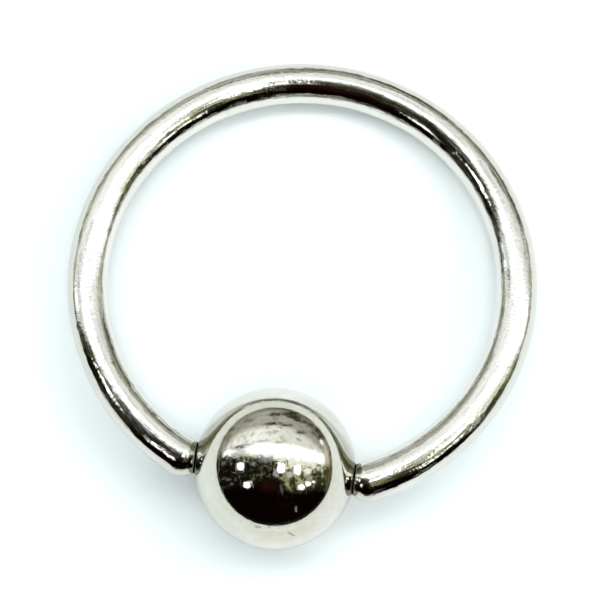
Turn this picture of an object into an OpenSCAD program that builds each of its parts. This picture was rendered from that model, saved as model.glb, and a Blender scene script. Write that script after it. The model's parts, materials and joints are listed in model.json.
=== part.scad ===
// Captive bead ring for a piercing, lying as it rests by itself on a flat surface.
// The wire hoop is open at the front. A solid ball fills the gap, and the rounded wire ends sit in
// two opposite dimples of the ball, which can turn between them.
// Millimetres. +X runs along the ball's turning axis, +Y from the ball to the far side, +Z up.
// The origin is below the middle of the whole ring, on the surface that it lies on.

/* [Wire] */
// Diameter of the round wire
wire_d = 2; // [1.6:0.1:2.4]
// Inside diameter of the hoop
inner_d = 19.1; // [17:0.1:24]

/* [Ball] */
// Diameter of the ball
ball_d = 7.8; // [7:0.1:9]
// Depth of each dimple, measured from where the full ball would end
dimple_depth = 0.4; // [0.3:0.05:0.6]
// Gap all round between a wire end and its dimple
end_gap = 0.03; // [0.02:0.01:0.06]
// Width of the bevel round the mouth of each dimple
bevel_w = 0.05; // [0.02:0.01:0.1]

/* [Hidden] */
$fn = 96;

wire_r = wire_d / 2;
ball_r = ball_d / 2;
hoop_r = inner_d / 2 + wire_r;             // from the hoop's centre to the middle of the wire

// Each wire end is a half sphere, and each dimple is part of a slightly larger sphere round it.
dimple_r = wire_r + end_gap;
end_x = ball_r - dimple_depth + dimple_r;  // from the ball's centre to the centre of a wire end

// Half of the opening in the hoop, seen from its centre, to the nearest thousandth of a degree.
end_angle = round(asin(end_x / hoop_r) * 1000) / 1000;
ball_to_hoop = hoop_r * cos(end_angle);    // from the ball's centre to the hoop's centre

// The mouth of a dimple is the circle in which its sphere meets the ball's.
mouth_x = (end_x * end_x + ball_r * ball_r - dimple_r * dimple_r) / (2 * end_x);
mouth_r = sqrt(ball_r * ball_r - mouth_x * mouth_x);

// The hoop rests on the bottom of the ball and on its own far side, so its plane slopes down to the back.
slope = asin((ball_r - wire_r) / (ball_to_hoop + hoop_r));
length_y = ball_r + (ball_to_hoop + hoop_r) * cos(slope) + wire_r;
ball_y = ball_r - length_y / 2;

// Puts a piece that is drawn round the ball's centre, with the hoop level behind it, in its resting place.
module resting() {
    translate([0, ball_y, ball_r]) rotate([-slope, 0, 0]) children();
}

// Half sphere with its flat side on the XY plane and its dome towards +Z.
module dome(r) {
    rotate_extrude() intersection() {
        circle(r);
        square(r);
    }
}

// Wire end on one side: the dome starts where the bent wire stops and points along it.
module wire_end(side) {
    rotate([0, 0, side * end_angle]) translate([0, -hoop_r, 0]) rotate([0, -side * 90, 0]) dome(wire_r);
}

module ring_wire() {
    color([0.78, 0.77, 0.74]) resting() translate([0, ball_to_hoop, 0]) {
        rotate([0, 0, end_angle - 90])
            rotate_extrude(angle = 360 - 2 * end_angle) translate([hoop_r, 0]) circle(wire_r);
        for (side = [-1, 1]) wire_end(side);
    }
}

// Half of the dimple's outline, with the ball's turning axis as Y: a circle round the wire end, and a
// bevel that opens outwards at the mouth.
module dimple_outline() {
    translate([0, end_x]) circle(dimple_r);
    polygon([
        [0, mouth_x - bevel_w],
        [mouth_r - bevel_w, mouth_x - bevel_w],
        [mouth_r + 3 * bevel_w, mouth_x + bevel_w],
        [0, mouth_x + bevel_w]
    ]);
}

// The ball's half outline, with a dimple at each end, is turned about the line through both dimples.
module captive_ball() {
    color([0.8, 0.79, 0.76]) resting() rotate([0, 90, 0]) rotate_extrude() difference() {
        intersection() {
            circle(ball_r);
            translate([0, -ball_r]) square([ball_r, ball_d]);
        }
        dimple_outline();
        mirror([0, 1]) dimple_outline();
    }
}

ring_wire();
captive_ball();
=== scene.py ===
# Looks of a captive bead piercing ring: a bent steel wire whose rounded ends sit in a polished ball.
import json
import math

import bpy
from mathutils import Matrix, Vector


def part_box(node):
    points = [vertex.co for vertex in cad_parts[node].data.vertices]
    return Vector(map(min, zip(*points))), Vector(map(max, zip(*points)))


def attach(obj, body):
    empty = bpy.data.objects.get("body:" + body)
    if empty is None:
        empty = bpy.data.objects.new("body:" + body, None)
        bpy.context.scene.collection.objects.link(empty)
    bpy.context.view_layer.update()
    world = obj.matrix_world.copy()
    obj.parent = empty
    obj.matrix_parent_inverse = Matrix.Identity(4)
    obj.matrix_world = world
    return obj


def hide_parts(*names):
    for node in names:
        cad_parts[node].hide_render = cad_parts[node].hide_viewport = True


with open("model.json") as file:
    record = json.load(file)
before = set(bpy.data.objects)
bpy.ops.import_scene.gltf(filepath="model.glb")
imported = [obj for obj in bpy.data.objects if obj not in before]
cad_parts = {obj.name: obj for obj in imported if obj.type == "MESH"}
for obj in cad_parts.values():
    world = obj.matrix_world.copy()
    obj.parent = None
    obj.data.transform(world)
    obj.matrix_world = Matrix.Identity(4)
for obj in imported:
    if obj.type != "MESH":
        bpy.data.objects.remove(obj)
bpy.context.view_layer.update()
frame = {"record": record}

MM = 0.001
UM = 0.000001

# Sizes of the real ring that the frame's boxes don't give
WIRE_R = 1.0 * MM
DIMPLE_DEPTH = 0.4 * MM
END_GAP = 0.03 * MM
BEVEL_W = 0.05 * MM

# The rest is worked out from the frame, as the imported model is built. It rests a hair higher, which
# keeps these finer meshes inside the frame's box.
ball_low, ball_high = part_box("captive_ball")
ring_low, ring_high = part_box("ring_wire")
BALL_CENTRE = Vector(frame["record"]["behaviour"]["joints"][0]["pos_m"])
BALL_R = (ball_high[2] - ball_low[2]) / 2
HOOP_R = (ring_high[0] - ring_low[0]) / 2 - WIRE_R
DIMPLE_R = WIRE_R + END_GAP
END_X = BALL_R - DIMPLE_DEPTH + DIMPLE_R
END_ANGLE = math.asin(END_X / HOOP_R)
BALL_TO_HOOP = HOOP_R * math.cos(END_ANGLE)
SLOPE = math.asin((BALL_R - WIRE_R) / (BALL_TO_HOOP + HOOP_R))
HAIR = Vector((0, 0, 0.6 * UM))
RESTING = Matrix.Translation(BALL_CENTRE + HAIR) @ Matrix.Rotation(-SLOPE, 4, "X")

# Where the bent wire stops, as an angle round the hoop from its far side
END_TURN = math.pi - END_ANGLE

# How finely the two meshes are divided
WIRE_STATIONS = 560
WIRE_SIDES = 80
DOME_RINGS = 36
BALL_ROWS = 168
BALL_SIDES = 240
DIMPLE_ROWS = 14

# How far the darker tone reaches from where wire and ball meet, on each of them
WIRE_SEAT_REACH = 1.2 * MM
BALL_SEAT_REACH = 0.5 * MM

# Camera, in the photograph's place
CAMERA_AZIMUTH = math.radians(13.48)
CAMERA_ELEVATION = math.radians(80.02)
CAMERA_ROLL = math.radians(-5.65)
CAMERA_DISTANCE = 150 * MM
CAMERA_AIM = Vector((-0.107, 0.525, -0.067)) * MM
CAMERA_LENS = 179.95
SENSOR_WIDTH = 36.0

# Plain floor, just below the ring
FLOOR_HALF = 1.5
FLOOR_LEVEL = -10 * UM


class Nodes:
    """Adds nodes to one node tree and links them. A value may be a number, a colour or an output."""

    def __init__(self, tree):
        self.tree = tree
        tree.nodes.clear()

    def add(self, kind, **settings):
        node = self.tree.nodes.new(kind)
        for name, value in settings.items():
            setattr(node, name, value)
        return node

    def put(self, socket, value):
        if isinstance(value, bpy.types.NodeSocket):
            self.tree.links.new(value, socket)
        elif isinstance(value, tuple) and len(value) == 3 and socket.type == "RGBA":
            socket.default_value = (*value, 1.0)
        else:
            socket.default_value = value

    def math(self, operation, *values, clamp=False):
        node = self.add("ShaderNodeMath", operation=operation, use_clamp=clamp)
        for socket, value in zip(node.inputs, values):
            self.put(socket, value)
        return node.outputs[0]

    def vector(self, operation, *values):
        node = self.add("ShaderNodeVectorMath", operation=operation)
        for socket, value in zip(node.inputs, values):
            self.put(socket, value)
        scalar = operation in ("DOT_PRODUCT", "LENGTH", "DISTANCE")
        return node.outputs["Value" if scalar else "Vector"]

    def scale(self, vector, factor):
        node = self.add("ShaderNodeVectorMath", operation="SCALE")
        self.put(node.inputs[0], vector)
        self.put(node.inputs["Scale"], factor)
        return node.outputs["Vector"]

    def fade(self, value, start, end, low=0.0, high=1.0):
        """Goes smoothly from low at start to high at end."""
        node = self.add("ShaderNodeMapRange", interpolation_type="SMOOTHSTEP")
        for socket, number in zip(node.inputs, (value, start, end, low, high)):
            self.put(socket, number)
        return node.outputs["Result"]

    def stacked(self, value, *layers):
        """A value with each layer added to it, times the amount given with the layer."""
        for layer, amount in layers:
            value = self.math("MULTIPLY_ADD", layer, amount, value)
        return value

    def noise(self, place, scale, detail=2.0, roughness=0.5):
        node = self.add("ShaderNodeTexNoise")
        self.put(node.inputs["Vector"], place)
        self.put(node.inputs["Scale"], scale)
        self.put(node.inputs["Detail"], detail)
        self.put(node.inputs["Roughness"], roughness)
        return node.outputs["Fac"]

    def drawn_noise(self, place, scales, detail=2.0, roughness=0.5):
        """Noise with a scale of its own along each axis."""
        return self.noise(self.vector("MULTIPLY", place, scales), 1.0, detail, roughness)

    def cells(self, place, scale):
        node = self.add("ShaderNodeTexVoronoi")
        self.put(node.inputs["Vector"], place)
        self.put(node.inputs["Scale"], scale)
        return node.outputs["Distance"], node.outputs["Color"]

    def red(self, colour):
        node = self.add("ShaderNodeSeparateColor")
        self.put(node.inputs[0], colour)
        return node.outputs[0]

    def mix(self, share, first, second):
        """The first colour where share is 0, and the second where it is 1."""
        node = self.add("ShaderNodeMix", data_type="RGBA")
        self.put(node.inputs[0], share)
        # Each kind of value has its own sockets with the same names on a Mix node
        first_socket, second_socket = [s for s in node.inputs if s.type == "RGBA"]
        self.put(first_socket, first)
        self.put(second_socket, second)
        return next(s for s in node.outputs if s.type == "RGBA")

    def attribute(self, name, output):
        return self.add("ShaderNodeAttribute", attribute_name=name).outputs[output]

    def background(self, colour):
        node = self.add("ShaderNodeBackground")
        self.put(node.inputs["Color"], colour)
        return node.outputs[0]

    def either(self, share, first, second):
        node = self.add("ShaderNodeMixShader")
        for socket, value in zip(node.inputs, (share, first, second)):
            self.put(socket, value)
        return node.outputs[0]


# Meshes

def make_object(name, points, faces):
    mesh = bpy.data.meshes.new(name)
    mesh.from_pydata(points, [], faces)
    mesh.shade_smooth()
    mesh.validate()
    piece = bpy.data.objects.new(name, mesh)
    bpy.context.scene.collection.objects.link(piece)
    return piece


def ring_faces(rings, sides):
    """Faces between each ring of points and the next."""
    faces = []
    for ring in range(rings - 1):
        for side in range(sides):
            a = ring * sides + side
            b = ring * sides + (side + 1) % sides
            faces.append((a, b, b + sides, a + sides))
    return faces


def tip_faces(ring, sides, tip):
    """Faces from the first or last ring of points to the single point that closes the mesh there."""
    faces = []
    for side in range(sides):
        a = ring * sides + side
        b = ring * sides + (side + 1) % sides
        faces.append((b, a, tip) if ring == 0 else (a, b, tip))
    return faces


def keep_numbers(piece, name, numbers):
    """Stores one number for each point of the mesh, for the material."""
    stored = piece.data.attributes.new(name, "FLOAT", "POINT")
    stored.data.foreach_set("value", numbers)


def seat_closeness(distance, reach):
    """1 at the seat and beyond it, falling to 0 at the reach."""
    return max(0.0, 1 - max(0.0, distance) / reach)


def mark_groove(piece, gaps):
    """Keeps how far each point is out of the groove between wire and ball, in millimetres."""
    keep_numbers(piece, "out_of_groove", [min(1.0, gap / MM) for gap in gaps])


# Wire: a round bar swept along the hoop, closed by a half sphere at each end

def hoop_directions(turn):
    """Away from the hoop's centre and along the wire, at an angle round the hoop from its far side."""
    outward = Vector((math.sin(turn), math.cos(turn), 0))
    onward = Vector((math.cos(turn), -math.sin(turn), 0))
    return outward, onward


def dome_stations(side):
    """Stations of the half sphere at one end, from the bent wire to the tip."""
    outward, onward = hoop_directions(side * END_TURN)
    stations = []
    for ring in range(1, DOME_RINGS):
        rise = math.pi / 2 * ring / DOME_RINGS
        centre = outward * HOOP_R + side * onward * WIRE_R * math.sin(rise)
        along = side * (END_TURN * HOOP_R + WIRE_R * rise)
        stations.append((centre, outward, WIRE_R * math.cos(rise), along))
    return stations


def wire_stations():
    """Centre, outward direction, radius and length along the wire of each ring of points."""
    bent = []
    for step in range(WIRE_STATIONS + 1):
        turn = END_TURN * (2 * step / WIRE_STATIONS - 1)
        outward, _ = hoop_directions(turn)
        bent.append((outward * HOOP_R, outward, WIRE_R, turn * HOOP_R))
    return dome_stations(-1)[::-1] + bent + dome_stations(1)


def make_wire():
    place = RESTING @ Matrix.Translation((0, BALL_TO_HOOP, 0))
    stations = wire_stations()
    points, grain = [], []
    for centre, outward, radius, along in stations:
        for side in range(WIRE_SIDES):
            turn = 2 * math.pi * side / WIRE_SIDES
            offset = outward * math.cos(turn) + Vector((0, 0, math.sin(turn)))
            points.append(place @ (centre + offset * radius))
            grain.append((along / MM, math.cos(turn), math.sin(turn)))
    faces = ring_faces(len(stations), WIRE_SIDES)
    tip_length = HOOP_R * END_TURN + WIRE_R * math.pi / 2
    for side, ring in ((-1, 0), (1, len(stations) - 1)):
        outward, onward = hoop_directions(side * END_TURN)
        faces += tip_faces(ring, WIRE_SIDES, len(points))
        points.append(place @ (outward * HOOP_R + side * onward * WIRE_R))
        grain.append((side * tip_length / MM, 0, 0))
    piece = make_object("polished_wire", points, faces)
    lines = piece.data.attributes.new("grain", "FLOAT_VECTOR", "POINT")
    lines.data.foreach_set("vector", [number for row in grain for number in row])
    bend_end = HOOP_R * END_TURN
    keep_numbers(piece, "seat", [seat_closeness(bend_end - abs(row[0]) * MM, WIRE_SEAT_REACH) for row in grain])
    mark_groove(piece, [(point - BALL_CENTRE).length - BALL_R for point in points])
    return piece


# Ball: half an outline with a dimple and bevel at each end, turned about the line through both dimples

def meet(start, end, centre_x, radius):
    """Where the line from start to end crosses a circle round (centre_x, 0), as far along as it can."""
    run, rise = end[0] - start[0], end[1] - start[1]
    across = start[0] - centre_x
    a = run * run + rise * rise
    b = 2 * (across * run + start[1] * rise)
    c = across * across + start[1] * start[1] - radius * radius
    share = (-b + math.sqrt(b * b - 4 * a * c)) / (2 * a)
    return start[0] + run * share, start[1] + rise * share


def ball_outline():
    """Points (along the axis, out from it) from one dimple's bottom to the other's."""
    mouth_x = (END_X ** 2 + BALL_R ** 2 - DIMPLE_R ** 2) / (2 * END_X)
    mouth_r = math.sqrt(BALL_R ** 2 - mouth_x ** 2)
    inner = (mouth_x - BEVEL_W, mouth_r - BEVEL_W)
    outer = (mouth_x + BEVEL_W, mouth_r + 3 * BEVEL_W)
    low = meet(outer, inner, END_X, DIMPLE_R)
    high = meet(inner, outer, 0, BALL_R)
    dip = math.atan2(low[1], END_X - low[0])
    half = []
    for step in range(DIMPLE_ROWS + 1):
        turn = dip * step / DIMPLE_ROWS
        half.append((END_X - DIMPLE_R * math.cos(turn), DIMPLE_R * math.sin(turn)))
    # Points close to both ends of the bevel keep its edges crisp
    for share in (0.08, 0.5, 0.92):
        half.append((low[0] + (high[0] - low[0]) * share, low[1] + (high[1] - low[1]) * share))
    start = math.atan2(high[1], high[0])
    crisp = math.radians(0.15)
    step_turn = (math.pi / 2 - start) / (BALL_ROWS / 2)
    turns = [start, start + crisp]
    turns += [start + step_turn * step for step in range(1, BALL_ROWS // 2 + 1)]
    half += [(BALL_R * math.cos(turn), BALL_R * math.sin(turn)) for turn in turns]
    return half + [(-x, r) for x, r in half[-2::-1]]


def make_ball():
    outline = ball_outline()
    # The mouth is the widest point of the dimple and its bevel
    mouth = max(r for x, r in outline[:DIMPLE_ROWS + 4])
    points, seat = [], []
    for x, r in outline[1:-1]:
        for side in range(BALL_SIDES):
            turn = 2 * math.pi * side / BALL_SIDES
            points.append(RESTING @ Vector((x, r * math.cos(turn), r * math.sin(turn))))
            seat.append(seat_closeness(r - mouth, BALL_SEAT_REACH))
    rings = len(outline) - 2
    faces = ring_faces(rings, BALL_SIDES)
    for bottom, ring in ((outline[0], 0), (outline[-1], rings - 1)):
        faces += tip_faces(ring, BALL_SIDES, len(points))
        points.append(RESTING @ Vector((bottom[0], 0, 0)))
        seat.append(1.0)
    piece = make_object("polished_ball", points, faces)
    keep_numbers(piece, "seat", seat)
    unturned = [RESTING.inverted() @ point for point in points]
    mark_groove(piece, [math.hypot(point.y, point.z) - mouth for point in unturned])
    return piece


# Steel

# Darker and lighter patches of each piece's metal, and tones mixed into it: darker near the seat, in pits
# and nicks, and near black in the groove, where it is painted shade of the narrow gap and partly grime
WIRE_TONES = ((0.80, 0.795, 0.74), (0.84, 0.83, 0.775))
BALL_TONES = ((0.74, 0.725, 0.645), (0.80, 0.785, 0.71))
# Tones that the metal darkens towards where wire and ball meet
WIRE_SEAT_TONE = (0.30, 0.28, 0.24)
BALL_SEAT_TONE = (0.28, 0.26, 0.22)
SEAT_SHARE = 0.15
PIT_TONE = (0.20, 0.18, 0.14)
NICK_TONE = (0.22, 0.22, 0.17)
# Near-black paint in the groove between wire and ball: painted shade of the narrow gap, partly grime
GROOVE_SHADE_AND_GRIME = (0.006, 0.005, 0.004)
GROOVE_DARK_ROUGHNESS = 0.7
# The painted groove shade and grime starts this far out of the groove and is full at the second distance,
# in millimetres
GROOVE_DARK_EDGE = (0.095, 0.06)
# How much rougher the steel is in a scratch or pit
SCRATCH_ROUGHNESS = 0.15
# Height of one unit of the bumps
WIRE_BUMP = 2.5 * UM
BALL_BUMP = 1.5 * UM

# Small grey nicks on the ball, as directions from its centre: along its axis, towards the hoop and up
NICKS = (  # direction, radius in millimetres, share
    ((-0.10, -0.88, 0.47), 0.14, 0.55),
    ((-0.06, -0.88, 0.475), 0.12, 0.55),
    ((0.05, -0.867, 0.497), 0.12, 0.4),
    ((0.29, -0.875, 0.385), 0.10, 0.6),
    ((0.315, -0.878, 0.355), 0.10, 0.7),
    ((0.34, -0.880, 0.325), 0.10, 0.75),
    ((0.36, -0.882, 0.30), 0.08, 0.7),
    ((-0.30, -0.83, 0.47), 0.08, 0.3),
    ((0.17, -0.86, 0.48), 0.08, 0.3),
)


def new_material(name):
    material = bpy.data.materials.new(name)
    material.use_nodes = True
    return material, Nodes(material.node_tree)


def hairline(n, noise, width):
    """1 along the thin line where a noise passes its middle value."""
    return n.fade(n.math("ABSOLUTE", n.math("SUBTRACT", noise, 0.5)), width, 0.0)


def pits(n, place, scale, size, share):
    """1 in small round pits: one near the middle of some of the cells that place is divided into."""
    reach, tint = n.cells(place, scale)
    picked = n.math("LESS_THAN", n.math("FRACT", n.math("MULTIPLY", n.red(tint), 7.0)), share)
    return n.math("MULTIPLY", n.fade(reach, size, size * 0.4), picked)


def finish_steel(n, colour, roughness, height, depth):
    """Steel with the given paint and bumps, and rough dark paint in the groove: painted shade of the narrow
    gap between wire and ball, partly grime.
    """
    # The groove gets painted shade of the gap between wire and ball, partly grime
    groove = n.fade(n.attribute("out_of_groove", "Fac"), *GROOVE_DARK_EDGE)
    shader = n.add("ShaderNodeBsdfPrincipled")
    n.put(shader.inputs["Base Color"], n.mix(groove, colour, GROOVE_SHADE_AND_GRIME))
    n.put(shader.inputs["Metallic"], n.math("SUBTRACT", 1.0, groove))
    n.put(shader.inputs["Roughness"], n.stacked(roughness, (groove, GROOVE_DARK_ROUGHNESS)))
    n.put(shader.inputs["Specular IOR Level"], 0.0)
    bump = n.add("ShaderNodeBump")
    n.put(bump.inputs["Strength"], 1.0)
    n.put(bump.inputs["Distance"], depth)
    n.put(bump.inputs["Height"], height)
    n.put(shader.inputs["Normal"], bump.outputs["Normal"])
    out = n.add("ShaderNodeOutputMaterial")
    n.put(out.inputs["Surface"], shader.outputs["BSDF"])


def wire_steel():
    """Drawn and polished wire: fine lines along it, a few deeper scratches and small pits."""
    material, n = new_material("wire_steel_polished")
    grain = n.attribute("grain", "Vector")
    fine = n.drawn_noise(grain, (0.5, 16.0, 16.0), 3.0, 0.6)
    coarse = n.drawn_noise(grain, (0.8, 9.0, 9.0))
    grit = n.noise(grain, 7.0, 2.0, 0.6)
    waves = n.drawn_noise(grain, (0.5, 0.8, 0.8), 1.0)
    patches = n.drawn_noise(grain, (0.6, 1.5, 1.5))
    scratch = hairline(n, n.drawn_noise(grain, (0.35, 1.6, 1.6), 1.0), 0.008)
    scratch = n.math("MULTIPLY", scratch, n.fade(patches, 0.45, 0.6))
    pit = pits(n, grain, 1.6, 0.07, 0.22)
    worn = n.fade(patches, 0.42, 0.68)

    # Bumps: the polish is coarser and grittier where the patches are bright
    coarse_amount = n.fade(patches, 0.38, 0.62, 1.0, 4.5)
    grit_amount = n.fade(patches, 0.36, 0.62, 2.0, 4.2)
    height = n.math("MULTIPLY", fine, n.math("MULTIPLY_ADD", worn, 0.7, 0.25))
    height = n.stacked(height, (coarse, coarse_amount), (grit, grit_amount), (waves, 2.0))
    height = n.stacked(height, (scratch, -0.5), (pit, -1.5))

    colour = n.mix(n.fade(patches, 0.35, 0.65), *WIRE_TONES)
    seat = n.attribute("seat", "Fac")
    colour = n.mix(n.math("MULTIPLY", seat, SEAT_SHARE), colour, WIRE_SEAT_TONE)
    colour = n.mix(n.math("MULTIPLY", pit, 0.6), colour, PIT_TONE)
    roughness = n.math("MULTIPLY_ADD", worn, 0.07, 0.045)
    roughness = n.stacked(roughness, (n.math("MAXIMUM", scratch, pit), SCRATCH_ROUGHNESS))
    finish_steel(n, colour, roughness, height, WIRE_BUMP)
    return material


def ball_steel():
    """Mirror-polished ball with fine hairlines in two directions, small pits and a few nicks in front."""
    material, n = new_material("ball_steel_polished")
    place = n.scale(n.add("ShaderNodeTexCoord").outputs["Object"], 1.0 / MM)
    patches = n.noise(place, 0.5, 3.0, 0.55)
    fine = n.drawn_noise(place, (1.0, 9.0, 9.0), 3.0, 0.6)
    grit = n.noise(place, 7.0, 2.0, 0.6)
    waves = n.noise(place, 0.55, 1.0, 0.4)
    along = hairline(n, n.drawn_noise(place, (0.25, 1.4, 1.1), 1.0), 0.006)
    across = hairline(n, n.drawn_noise(place, (1.3, 0.3, 1.0), 1.0), 0.005)
    scratch = n.math("MULTIPLY", n.math("MAXIMUM", along, across), n.fade(patches, 0.45, 0.6))
    pit = pits(n, place, 1.1, 0.06, 0.25)
    height = n.math("MULTIPLY", fine, 0.5)
    height = n.stacked(height, (grit, 1.1), (waves, 3.0), (scratch, -0.4), (pit, -1.5))

    mottle = n.noise(place, 2.6, 4.0, 0.6)
    colour = n.mix(n.fade(patches, 0.36, 0.64), *BALL_TONES)
    colour = n.scale(colour, n.fade(mottle, 0.35, 0.65, 0.965, 1.035))
    for direction, radius, share in NICKS:
        centre = RESTING @ (Vector(direction).normalized() * BALL_R) / MM
        nick = n.fade(n.vector("DISTANCE", place, centre), radius, radius * 0.4, 0.0, share)
        colour = n.mix(nick, colour, NICK_TONE)
    seat = n.attribute("seat", "Fac")
    colour = n.mix(n.math("MULTIPLY", seat, SEAT_SHARE), colour, BALL_SEAT_TONE)
    colour = n.mix(n.math("MULTIPLY", pit, 0.7), colour, PIT_TONE)
    roughness = n.math("MULTIPLY_ADD", n.fade(patches, 0.4, 0.7), 0.04, 0.03)
    roughness = n.stacked(roughness, (n.math("MAXIMUM", scratch, pit), SCRATCH_ROUGHNESS))
    finish_steel(n, colour, roughness, height, BALL_BUMP)
    return material


# Floor

FLOOR_TONES = ((0.83, 0.86, 0.86), (0.85, 0.88, 0.88))
# How bright the floor looks in the steel, as a share of how bright it is in each colour
FLOOR_IN_MIRRORS = (0.87, 0.83, 0.79)
NEAR_FLOOR_IN_MIRRORS = (0.895, 0.87, 0.88)
FLOOR_TWICE = (0.42, 0.43, 0.35)
# In the steel the floor is a little brighter round this point, near the middle of the hoop
FLOOR_MIDDLE = Vector((2.0, 2.0, 0.0)) * MM
# A patch of the sheet in front of the ball is creamier
CREAM = (0.92, 0.90, 0.80)
CREAM_AHEAD = 16 * MM
CREAM_REACH = 11 * MM
# In the steel the floor turns nearly black beyond this distance from the ball on the camera's side
MIRRORED_DARK_EDGE = 62 * MM
BEYOND_MIRRORED_EDGE = (0.003, 0.001, 0.001)


def floor_in_mirrors(n, place):
    """How much of the floor's brightness shows in the steel, in each colour."""
    from_ball = n.vector("SUBTRACT", place, BALL_CENTRE)
    near = n.fade(n.vector("LENGTH", from_ball), 35.0 * MM, 9.0 * MM)
    share = n.mix(near, FLOOR_IN_MIRRORS, NEAR_FLOOR_IN_MIRRORS)
    towards_camera = Vector((math.sin(CAMERA_AZIMUTH), -math.cos(CAMERA_AZIMUTH), 0.0))
    from_patch = n.vector("DISTANCE", from_ball, towards_camera * CREAM_AHEAD)
    cream = n.fade(from_patch, CREAM_REACH, CREAM_REACH * 0.5)
    share = n.mix(cream, share, n.vector("MULTIPLY", share, CREAM))
    ahead = n.vector("DOT_PRODUCT", from_ball, towards_camera)
    share = n.mix(n.fade(ahead, MIRRORED_DARK_EDGE * 0.95, MIRRORED_DARK_EDGE * 1.05), share, BEYOND_MIRRORED_EDGE)
    return share


def floor_white():
    """Plain white floor, toned down where the steel mirrors it and once more where it does so twice."""
    material, n = new_material("floor_white")
    place = n.add("ShaderNodeTexCoord").outputs["Object"]
    colour = n.mix(n.noise(place, 40.0, 3.0), *FLOOR_TONES)
    from_middle = n.vector("DISTANCE", place, FLOOR_MIDDLE)
    uneven = n.fade(from_middle, 14.0 * MM, 6.0 * MM, 0.98, 1.10)
    path = n.add("ShaderNodeLightPath")
    share = floor_in_mirrors(n, place)
    twice = n.math("GREATER_THAN", path.outputs["Glossy Depth"], 1.5)
    share = n.mix(twice, share, n.vector("MULTIPLY", share, FLOOR_TWICE))
    toned = n.vector("MULTIPLY", n.scale(colour, uneven), share)
    colour = n.mix(path.outputs["Is Glossy Ray"], colour, toned)
    shader = n.add("ShaderNodeBsdfPrincipled")
    n.put(shader.inputs["Base Color"], colour)
    n.put(shader.inputs["Roughness"], 0.7)
    n.put(shader.inputs["Specular IOR Level"], 0.2)
    out = n.add("ShaderNodeOutputMaterial")
    n.put(out.inputs["Surface"], shader.outputs["BSDF"])
    return material


def make_floor():
    points = [
        (-FLOOR_HALF, -FLOOR_HALF, FLOOR_LEVEL),
        (FLOOR_HALF, -FLOOR_HALF, FLOOR_LEVEL),
        (FLOOR_HALF, FLOOR_HALF, FLOOR_LEVEL),
        (-FLOOR_HALF, FLOOR_HALF, FLOOR_LEVEL),
    ]
    floor = make_object("floor", points, [(0, 1, 2, 3)])
    floor.data.materials.append(floor_white())


# Room: what the steel mirrors, and the light on the floor, laid out by direction

# Directions are degrees from straight up: x to the camera's right and y away from the camera
LAMPS = (  # x, y, width, height, brightness
    (-48.5, 3.0, 4.4, 5.0, 4.0),
    (-28.0, 3.0, 3.0, 3.0, 0.30),
    (9.0, -7.0, 5.5, 6.8, 4.0),
    (1.0, -13.0, 3.5, 6.0, 0.40),
    (33.0, -11.0, 5.0, 6.8, 4.0),
    (20.0, -17.0, 4.5, 4.5, 0.60),
    (48.0, -14.0, 4.0, 4.0, 1.1),
    (50.0, -22.0, 4.0, 3.0, 0.30),
    (-42.5, -25.0, 4.8, 4.2, 3.0),
    (-37.0, -22.0, 3.0, 2.0, 0.9),
    (37.0, -36.5, 4.3, 3.6, 3.0),
    (47.0, -32.0, 4.5, 3.0, 3.0),
    (56.0, -30.0, 3.5, 2.0, 1.6),
    (27.0, -70.0, 2.0, 4.5, 0.3),
    (-71.0, -13.0, 5.0, 1.5, 0.12),
    (-67.0, -20.0, 3.0, 2.0, 0.14),
    (-79.0, -9.0, 4.0, 1.5, 0.10),
    (7.0, -38.0, 2.0, 7.0, 0.10),
    (74.0, 31.0, 3.5, 3.5, 1.2),
)
SMUDGES = (  # x, y, width, height, share
    (10.0, 76.0, 14.0, 3.2, 1.15),
    (32.0, 74.0, 9.0, 6.0, 1.4),
    (40.0, 67.0, 6.0, 4.5, 1.15),
    (66.0, 48.0, 8.0, 7.0, 1.0),
    (73.0, 39.0, 7.0, 5.0, 1.0),
    (49.0, 63.0, 7.0, 3.5, 0.90),
    (58.0, 57.0, 7.0, 4.0, 0.95),
    (2.0, 60.0, 14.0, 2.6, 1.05),
    (23.0, 56.0, 9.0, 2.6, 0.90),
    (42.0, 44.0, 7.0, 3.0, 0.85),
    (-45.0, 31.0, 14.0, 3.2, 0.95),
    (-46.0, 23.0, 10.0, 5.0, 0.45),
    (-12.0, 34.0, 10.0, 1.8, 0.55),
    (10.0, 29.5, 6.0, 2.0, 0.40),
    (-30.0, 70.0, 6.0, 4.0, 0.50),
    (-68.0, 54.0, 7.0, 7.0, 0.60),
    (-58.0, 63.0, 6.0, 4.0, 0.55),
    (-38.0, 13.0, 9.0, 2.5, 0.70),
    (-82.0, 25.0, 6.0, 8.0, 0.75),
)
FLOOR_LIGHTS = (  # x, y, width, height, softness, brightness
    (0.0, 14.5, 45.0, 7.5, 0.15, 5.9),
    (0.0, 30.0, 40.0, 7.0, 0.30, 1.8),
    (0.0, 0.0, 11.0, 9.0, 0.30, 2.7),
    (0.0, -17.0, 11.0, 9.0, 0.30, 5.2),
    (36.0, 0.0, 13.0, 13.0, 0.30, 3.7),
    (75.0, 35.0, 20.0, 25.0, 0.40, 4.2),
    (75.0, -25.0, 20.0, 30.0, 0.40, 3.8),
    (0.0, -55.0, 30.0, 12.0, 0.40, 1.5),
    (-40.0, -40.0, 15.0, 15.0, 0.40, 2.2),
    (-58.0, 0.0, 12.0, 22.0, 0.40, 0.9),
    (40.0, -40.0, 15.0, 15.0, 0.40, 1.5),
)
FLOOR_LIGHT_TINT = (0.935, 1.0, 1.015)
PALE_BACKGROUND = (0.92, 0.96, 0.97)

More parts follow.
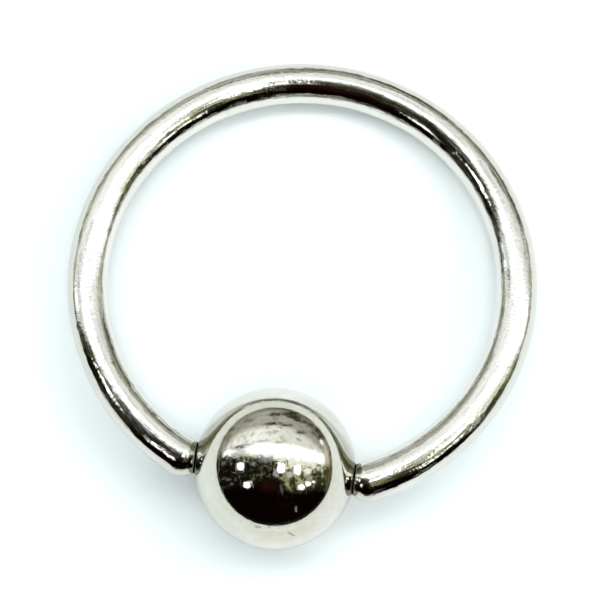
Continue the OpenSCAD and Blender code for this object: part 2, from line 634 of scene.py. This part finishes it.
# Bright strip overhead, the smudges on what is there, and the side of the room beyond the strip's
# right end: near the camera, away from it, and low down
STRIP_LIGHT = (1.42, 1.49, 1.55)
SMUDGE_TONE = (0.04, 0.038, 0.022)
SIDE_TONES = ((0.075, 0.062, 0.030), (0.66, 0.62, 0.50))
SIDE_LOW = (0.12, 0.115, 0.07)

# Wall beyond the strip, from left to right or from the middle to both sides
WALL_LIGHT = ((1.16, 1.19, 1.17), (0.90, 0.93, 0.90))
WALL_GREY = ((0.52, 0.52, 0.48), (0.40, 0.395, 0.325))
WALL_SMOKE = (0.16, 0.16, 0.14)
WALL_LOW = ((0.24, 0.24, 0.17), (0.10, 0.095, 0.055))

# Clutter below the strip: light things from near the strip to deep below it, and the dimmer gaps
# between them, each mottled between two tones
THINGS_LEFT = ((0.85, 0.87, 0.76), (0.17, 0.175, 0.12))
THINGS_RIGHT = ((1.05, 1.08, 0.96), (0.50, 0.52, 0.29))
MIDDLE_LEFT = ((0.030, 0.030, 0.016), (0.10, 0.10, 0.06))
MIDDLE_RIGHT = ((0.14, 0.15, 0.065), (0.34, 0.36, 0.20))
DULL_LEFT = ((0.003, 0.0025, 0.0015), (0.014, 0.015, 0.010))
DULL_RIGHT = ((0.010, 0.010, 0.004), (0.060, 0.065, 0.030))
GREY_THING = (0.34, 0.35, 0.34)
DARKEST = (0.0028, 0.0011, 0.0008)
BROWN_SHADE = (0.020, 0.006, 0.004)

# How much of the room's light is left in each colour where the steel mirrors itself mirroring it
MIRRORED_TWICE = (0.34, 0.34, 0.24)


def layout(n):
    """The direction looked in, and its degrees to the camera's right, away from it and from straight up."""
    direction = n.add("ShaderNodeTexCoord").outputs["Generated"]
    right = (math.cos(CAMERA_AZIMUTH), math.sin(CAMERA_AZIMUTH), 0.0)
    away = (-math.sin(CAMERA_AZIMUTH), math.cos(CAMERA_AZIMUTH), 0.0)
    to_right = n.vector("DOT_PRODUCT", direction, right)
    to_back = n.vector("DOT_PRODUCT", direction, away)
    height = n.vector("DOT_PRODUCT", direction, (0.0, 0.0, 1.0))
    tilt = n.math("MULTIPLY", n.math("ARCCOSINE", height), math.degrees(1.0))
    level = n.math("SQRT", n.math("ADD", n.math("POWER", to_right, 2.0), n.math("POWER", to_back, 2.0)))
    stretch = n.math("DIVIDE", tilt, n.math("MAXIMUM", level, 0.0001))
    return direction, n.math("MULTIPLY", to_right, stretch), n.math("MULTIPLY", to_back, stretch), tilt


def oval(n, x, y, centre_x, centre_y, width, height, soft=0.2):
    """1 inside an oval of directions and 0 outside it."""
    across = n.math("DIVIDE", n.math("SUBTRACT", x, centre_x), width)
    along = n.math("DIVIDE", n.math("SUBTRACT", y, centre_y), height)
    reach = n.math("SQRT", n.math("ADD", n.math("POWER", across, 2.0), n.math("POWER", along, 2.0)))
    return n.fade(reach, 1.0 + soft, 1.0 - soft)


def centred(n, noise):
    """A noise moved so that its middle value is 0."""
    return n.math("SUBTRACT", noise, 0.5)


def pale_wall(n, smoky, x, y, tilt):
    """Wall beyond the strip: light at first, grey further down, and darker along the horizon."""
    right_drop = n.math("MULTIPLY", n.math("POWER", n.math("MAXIMUM", x, 0.0), 2.0), 0.0075)
    left_drop = n.math("MULTIPLY", n.math("POWER", n.math("MINIMUM", x, 0.0), 4.0), 0.0000009)
    edge = n.math("SUBTRACT", 58.0, n.math("ADD", right_drop, left_drop))
    edge = n.math("ADD", edge, n.math("MULTIPLY_ADD", smoky, 16.0, -8.0))
    light = n.mix(n.fade(x, -35.0, 55.0), *WALL_LIGHT)
    grey = n.mix(n.fade(n.math("ABSOLUTE", x), 10.0, 60.0), *WALL_GREY)
    wall = n.mix(n.fade(n.math("SUBTRACT", y, edge), -9.0, 5.0), light, grey)
    smoke = n.fade(smoky, n.fade(x, 0.0, -70.0, 0.50, 0.40), 0.66, 0.0, 0.65)
    wall = n.mix(smoke, wall, WALL_SMOKE)
    low = n.mix(n.fade(x, -20.0, 20.0), *WALL_LOW)
    return n.mix(n.fade(tilt, 78.0, 89.0, 0.0, 0.85), wall, low)


def crowding(n, broad, grains, specks, x, depth, deep, on_right):
    """How far light things fill the clutter: about 0 or more on one, and well below 0 in a gap."""
    fill_left = n.math("MULTIPLY", n.fade(depth, 0.0, 14.0, 0.60, 0.10), n.fade(x, -66.0, -50.0, 0.0, 1.0))
    fill_right = n.fade(deep, 4.0, 38.0, 0.72, 0.22)
    fill = n.math("MULTIPLY_ADD", n.math("SUBTRACT", fill_right, fill_left), on_right, fill_left)
    level = n.math("MULTIPLY_ADD", fill, 2.0, -1.0)
    return n.stacked(level, (centred(n, grains), 6.0), (centred(n, specks), 2.0), (centred(n, broad), 4.0))


def clutter(n, broad, grains, specks, x, y, near_edge):
    """Dim side of the room: light things close below the strip, many on the right and few on the left."""
    on_right = n.fade(x, -4.5, 12.0)
    depth = n.math("SUBTRACT", near_edge, y)
    deep = n.math("DIVIDE", depth, n.fade(x, 40.0, 72.0, 1.0, 0.45))
    level = crowding(n, broad, grains, specks, x, depth, deep, on_right)
    mottled = n.fade(specks, 0.40, 0.62)
    things_left = n.mix(n.fade(depth, 0.0, 18.0), *THINGS_LEFT)
    things_right = n.mix(n.fade(deep, 4.0, 30.0), *THINGS_RIGHT)
    things = n.mix(on_right, things_left, things_right)
    middle = n.mix(on_right, n.mix(mottled, *MIDDLE_LEFT), n.mix(mottled, *MIDDLE_RIGHT))
    dull = n.mix(on_right, n.mix(mottled, *DULL_LEFT), n.mix(mottled, *DULL_RIGHT))
    dim = n.mix(n.fade(level, -0.55, -0.25), dull, middle)
    dim = n.mix(n.fade(level, -0.05, 0.30), dim, things)

    patch = oval(n, x, y, -9.0, 9.0, 12.0, 6.0, 0.5)
    patch = n.math("MULTIPLY", patch, n.fade(specks, 0.40, 0.56, 0.45, 0.9))
    dim = n.mix(patch, dim, GREY_THING)
    end = n.fade(x, 2.0, 20.0, -13.0, -29.0)
    dark = n.fade(n.math("SUBTRACT", y, end), 0.0, -18.0)
    dark = n.math("MAXIMUM", dark, n.fade(x, -54.0, -74.0, 0.0, 0.6))
    dim = n.mix(dark, dim, DARKEST)
    brown = oval(n, x, y, -9.0, -29.0, 15.0, 9.0, 0.6)
    return n.mix(n.math("MULTIPLY", brown, 0.8), dim, BROWN_SHADE)


def strip_edges(n, ragged, x, y):
    """The strip's lower edge, and shares that are 1 beyond that edge and 1 on the strip itself."""
    near_edge = n.math("MULTIPLY_ADD", x, -0.25, 10.0)
    near_edge = n.math("MULTIPLY_ADD", n.math("POWER", x, 3.0), 0.000013, near_edge)
    far_edge = n.math("MULTIPLY_ADD", x, -0.12, 30.0)
    far_edge = n.math("MULTIPLY_ADD", n.math("POWER", x, 2.0), -0.0016, far_edge)
    beyond = n.fade(n.math("SUBTRACT", y, n.math("MULTIPLY_ADD", ragged, 32.0, near_edge)), -1.0, 1.0)
    below = n.math("SUBTRACT", n.math("MULTIPLY_ADD", ragged, 12.0, far_edge), y)
    strip = n.math("MULTIPLY", beyond, n.fade(below, -1.5, 1.5))
    strip = n.math("MULTIPLY", strip, n.fade(x, 80.0, 75.0))
    strip = n.math("MULTIPLY", strip, n.fade(x, -77.0, -71.0))
    return near_edge, beyond, strip


def mirrored_room(n, twice):
    """What the steel mirrors. The wall and clutter are dimmer where it mirrors itself mirroring them."""
    direction, x, y, tilt = layout(n)
    smoky = n.drawn_noise(direction, (4.5, 4.5, 12.0), 5.0, 0.68)
    grains = n.noise(direction, 10.5, 4.0, 0.70)
    specks = n.noise(direction, 34.0, 3.0, 0.65)
    broad = n.noise(direction, 6.0, 1.0)
    ragged = centred(n, grains)

    near_edge, beyond, strip = strip_edges(n, ragged, x, y)
    wall = pale_wall(n, smoky, x, y, tilt)
    sky = n.mix(beyond, clutter(n, broad, grains, specks, x, y, near_edge), wall)
    sky = n.mix(twice, sky, n.vector("MULTIPLY", sky, MIRRORED_TWICE))
    sky = n.mix(strip, sky, STRIP_LIGHT)
    side = n.mix(n.fade(y, -12.0, 2.0), *SIDE_TONES)
    side = n.mix(n.fade(tilt, 82.0, 88.0), side, SIDE_LOW)
    sky = n.mix(n.fade(x, 75.0, 79.0), sky, side)

    for smudge_x, smudge_y, width, height, share in SMUDGES:
        mark = oval(n, x, y, smudge_x, smudge_y, width, height, 0.6)
        mark = n.math("MULTIPLY", mark, n.fade(grains, 0.38, 0.52, share * 0.4, share), clamp=True)
        sky = n.mix(mark, sky, SMUDGE_TONE)
    # The lamps' outlines are a little wavy
    wavy = n.math("MULTIPLY", ragged, 9.0)
    wavy_x = n.math("ADD", x, wavy)
    wavy_y = n.math("SUBTRACT", y, wavy)
    for lamp_x, lamp_y, width, height, brightness in LAMPS:
        disc = oval(n, wavy_x, wavy_y, lamp_x, lamp_y, width, height)
        sky = n.mix(disc, sky, (brightness, brightness, brightness))
    return sky


def floor_light(n):
    """What lights the floor."""
    _, x, y, _ = layout(n)
    light = 0.0
    for light_x, light_y, width, height, soft, brightness in FLOOR_LIGHTS:
        disc = oval(n, x, y, light_x, light_y, width, height, soft)
        light = n.stacked(light, (disc, brightness))
    return n.scale(FLOOR_LIGHT_TINT, light)


def make_room():
    """The mirrored room for the steel, plainer light for the floor, and a pale background."""
    world = bpy.data.worlds.new("room")
    bpy.context.scene.world = world
    world.use_nodes = True
    world.cycles.sampling_method = "NONE"
    n = Nodes(world.node_tree)
    path = n.add("ShaderNodeLightPath")
    twice = n.math("GREATER_THAN", path.outputs["Glossy Depth"], 1.5)
    mirrored = n.background(mirrored_room(n, twice))
    plain = n.background(floor_light(n))
    pale = n.background(PALE_BACKGROUND)
    after_floor = n.math("GREATER_THAN", path.outputs["Diffuse Depth"], 0.5)
    seen = n.either(after_floor, mirrored, plain)
    seen = n.either(path.outputs["Is Camera Ray"], seen, pale)
    n.put(n.add("ShaderNodeOutputWorld").inputs["Surface"], seen)


def make_camera():
    back = Vector((
        math.sin(CAMERA_AZIMUTH) * math.cos(CAMERA_ELEVATION),
        -math.cos(CAMERA_AZIMUTH) * math.cos(CAMERA_ELEVATION),
        math.sin(CAMERA_ELEVATION),
    ))
    data = bpy.data.cameras.new("photo_camera")
    data.lens = CAMERA_LENS
    data.sensor_width = SENSOR_WIDTH
    data.clip_start = 0.01
    data.clip_end = 10.0
    camera = bpy.data.objects.new("photo_camera", data)
    camera.location = CAMERA_AIM + back * CAMERA_DISTANCE
    turn = Matrix.Rotation(CAMERA_ROLL, 3, "Z")
    camera.rotation_euler = (back.to_track_quat("Z", "Y").to_matrix() @ turn).to_euler()
    bpy.context.scene.collection.objects.link(camera)
    bpy.context.scene.camera = camera


bpy.context.scene.view_settings.view_transform = "Standard"

make_camera()
wire = make_wire()
wire.data.materials.append(wire_steel())
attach(wire, "ring")
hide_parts("ring_wire")

ball = make_ball()
ball.data.materials.append(ball_steel())
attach(ball, "ball")
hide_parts("captive_ball")

make_floor()
make_room()
